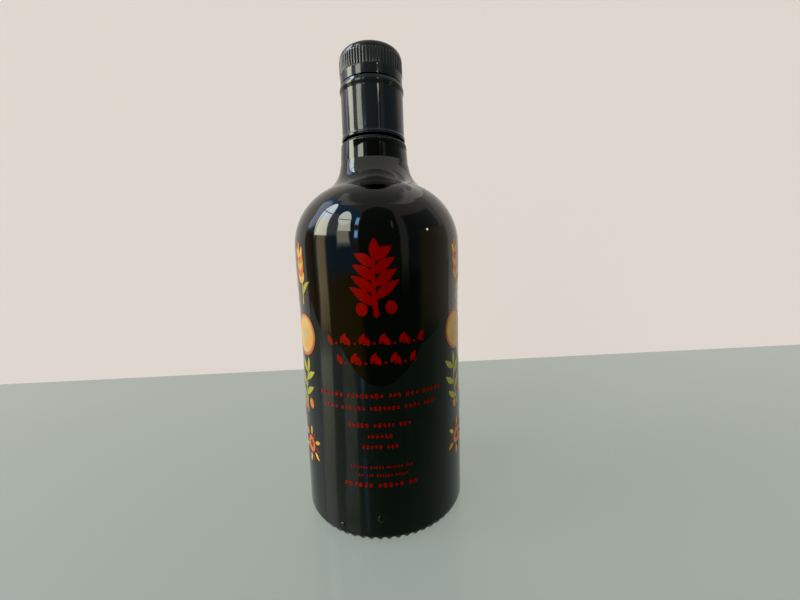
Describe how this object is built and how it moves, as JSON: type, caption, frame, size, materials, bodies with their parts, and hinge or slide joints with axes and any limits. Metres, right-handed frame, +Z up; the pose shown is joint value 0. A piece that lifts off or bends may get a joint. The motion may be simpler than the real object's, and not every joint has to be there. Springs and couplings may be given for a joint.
{
  "type": "olive oil bottle",
  "caption": "Round squat bottle of opaque black glass with a domed shoulder, short neck and long-skirted metal screw closure.",
  "frame": {"origin": "centre of the bearing ring under the bottle, on the plane that it stands on", "axes": "+Z up along the bottle's own axis, -Y towards the printed front"},
  "size_m": [0.0772, 0.0772, 0.2098],
  "materials": {
    "black_glass": "opaque black glass, glossy, with a coloured enamel print",
    "closure_lacquer": "glossy black lacquer on drawn aluminium"
  },
  "bodies": {
    "root": {"glass_bottle": "black_glass", "closure_sleeve": "closure_lacquer", "screw_cap": "closure_lacquer"}
  },
  "joints": []
}
